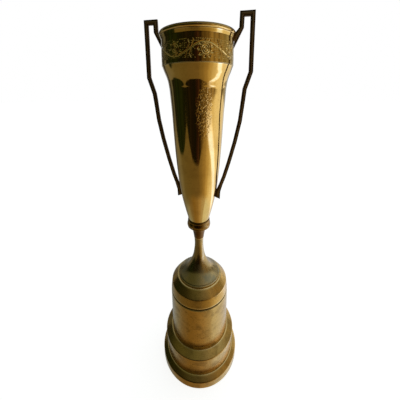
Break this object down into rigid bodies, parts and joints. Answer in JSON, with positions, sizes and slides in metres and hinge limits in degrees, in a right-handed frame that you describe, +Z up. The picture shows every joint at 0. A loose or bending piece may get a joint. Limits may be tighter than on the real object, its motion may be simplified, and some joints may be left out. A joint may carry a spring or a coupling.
{
  "type": "cup trophy",
  "caption": "Tall slim cup trophy in polished brass: engraved band, long taper, angular bronze handles, trumpet foot and a round stepped base.",
  "frame": {"origin": "centre of the felt pad's underside, on the surface that the trophy stands on", "axes": "+Z up along the turned axis of cup, stem and base; +X towards the right handle and -X towards the left handle; Y across the handles' plane"},
  "size_m": [0.1292, 0.1292, 0.5068],
  "materials": {
    "polished_brass": "polished, fine scratches and small pits",
    "engraved_brass": null,
    "turned_brass": "polished on a lathe, tarnished in the hollows",
    "satin_brass": "satin, mottled with tarnish, worn bright on its edges",
    "dark_bronze": "dark brown patina, rubbed a little on the flats",
    "plated_steel": "zinc plated",
    "turned_wood": "bare turned hardwood",
    "green_felt": "pressed felt"
  },
  "bodies": {
    "root": {"cup_bowl": "polished_brass", "rim_band": "engraved_brass", "rim_bead": "polished_brass", "handle_left": "dark_bronze", "handle_right": "dark_bronze", "handle_screw_upper_left": "plated_steel", "handle_screw_upper_right": "plated_steel", "handle_screw_lower_left": "plated_steel", "handle_screw_lower_right": "plated_steel", "cup_collar": "turned_brass", "neck_ring": "turned_brass", "stem_foot": "turned_brass", "tie_rod": "plated_steel", "cup_nut": "plated_steel", "cup_washer": "plated_steel", "base_cap": "satin_brass", "base_drum": "satin_brass", "middle_tier": "satin_brass", "bottom_tier": "satin_brass", "cap_core": "turned_wood", "drum_core": "turned_wood", "middle_core": "turned_wood", "bottom_core": "turned_wood", "base_washer": "plated_steel", "base_nut": "plated_steel", "felt_pad": "green_felt"}
  },
  "joints": []
}
